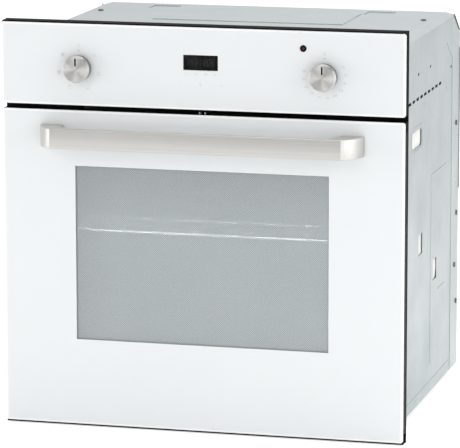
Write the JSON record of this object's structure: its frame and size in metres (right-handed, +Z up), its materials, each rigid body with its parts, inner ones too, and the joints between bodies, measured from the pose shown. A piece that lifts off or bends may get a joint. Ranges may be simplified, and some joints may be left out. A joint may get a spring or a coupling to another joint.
{
  "type": "wall oven",
  "caption": "Built-in single wall oven with a white glass front, drop-down glazed door with flat bar handle, rotary knobs, digital display and galvanised casing.",
  "frame": {"origin": "middle of the footprint at the lowest edge of the front frame, halfway between the handle front and the casing back", "axes": "+X to the right when facing the oven, -Y out of the front towards the user, +Z up"},
  "size_m": [0.595, 0.5354, 0.595],
  "materials": {
    "white_glass": "gloss",
    "black_enamel": "semi-gloss",
    "black_plastic": "satin",
    "cavity_enamel": "gloss enamel",
    "galvanised": "galvanised satin",
    "steel": "satin",
    "knob_steel": "radially brushed",
    "handle_aluminium": "brushed",
    "chrome_wire": "polished",
    "heater": "oxidised",
    "clear_glass": "polished",
    "window_glass": "screen printed",
    "lamp_glass": "clear",
    "display": "gloss",
    "board": "matte",
    "red_lens": "translucent",
    "ceramic": "matte",
    "wool": "fibrous",
    "silicone": "matte",
    "copper": "drawn",
    "switch_plastic": "matte"
  },
  "bodies": {
    "cabinet": {"front_frame": "black_enamel", "cavity_liner": "cavity_enamel", "cavity_rear_wall": "cavity_enamel", "insulation": "wool", "side_panel_left": "galvanised", "side_panel_right": "galvanised", "top_cover": "galvanised", "rear_cover": "galvanised", "base_tray": "galvanised", "casing_screws": "steel", "fascia_glass": "white_glass", "fascia_carrier": "black_plastic", "timer_display": "display", "timer_module": "board", "pilot_lamp": "red_lens", "function_switch": "switch_plastic", "thermostat": "switch_plastic", "thermostat_bulb": "copper", "grill_element": "heater", "bottom_element": "heater", "ring_element": "heater", "fan_cover": "cavity_enamel", "convection_motor": "steel", "blower_housing": "galvanised", "blower_motor": "steel", "air_duct": "galvanised", "vent_pipe": "galvanised", "overheat_cutout": "ceramic", "lamp_holder": "ceramic", "lamp_bulb": "lamp_glass", "lamp_cover": "lamp_glass", "side_ladder_left": "chrome_wire", "side_ladder_right": "chrome_wire", "door_gasket": "silicone", "door_buffers": "silicone", "door_catch": "steel", "hinge_receivers": "steel", "hinge_arms": "steel", "terminal_block": "switch_plastic", "cable_gland": "black_plastic"},
    "door": {"door_outer_glass": "white_glass", "door_mid_glass": "window_glass", "door_inner_glass": "clear_glass", "door_channel_left": "black_enamel", "door_channel_right": "black_enamel", "door_top_trim": "black_plastic", "door_bottom_trim": "black_plastic", "glass_spacers": "silicone", "hinge_cassettes": "steel", "handle_bar": "handle_aluminium", "handle_pads": "black_plastic", "handle_screws": "steel"},
    "function_knob": {"knob_function": "knob_steel", "function_spindle": "steel"},
    "temperature_knob": {"knob_temperature": "knob_steel", "temperature_spindle": "steel"},
    "fan_wheel": {"convection_fan": "steel"},
    "blower_wheel": {"blower_rotor": "steel"},
    "rack": {"wire_rack": "chrome_wire"},
    "tray": {"baking_tray": "cavity_enamel"}
  },
  "joints": [
    {"name": "door_hinge", "type": "hinge", "parent": "cabinet", "child": "door", "pos_m": [0, -0.2163, 0.0092], "axis": [1, 0, 0], "range_deg": [0, 90], "stiffness_Nm_per_rad": 6.4, "springref_deg": -44.69},
    {"name": "function_turn", "type": "hinge", "parent": "cabinet", "child": "function_knob", "pos_m": [-0.181, -0.2273, 0.5287], "axis": [0, 1, 0], "continuous": true},
    {"name": "temperature_turn", "type": "hinge", "parent": "cabinet", "child": "temperature_knob", "pos_m": [0.181, -0.2273, 0.5287], "axis": [0, 1, 0], "range_deg": [0, 285]},
    {"name": "fan_spin", "type": "hinge", "parent": "cabinet", "child": "fan_wheel", "pos_m": [0, 0.1789, 0.256], "axis": [0, 1, 0], "continuous": true},
    {"name": "blower_spin", "type": "hinge", "parent": "cabinet", "child": "blower_wheel", "pos_m": [0, 0.0487, 0.504], "axis": [1, 0, 0], "continuous": true},
    {"name": "rack_slide", "type": "slide", "parent": "cabinet", "child": "rack", "axis": [0, -1, 0], "range_m": [0, 0.3]},
    {"name": "tray_slide", "type": "slide", "parent": "cabinet", "child": "tray", "axis": [0, -1, 0], "range_m": [0, 0.25]}
  ],
  "couplings": [
    {"joint": "rack_slide", "follows": "door_hinge", "m_per_rad": 0.19},
    {"joint": "tray_slide", "follows": "door_hinge", "m_per_rad": 0.155}
  ]
}
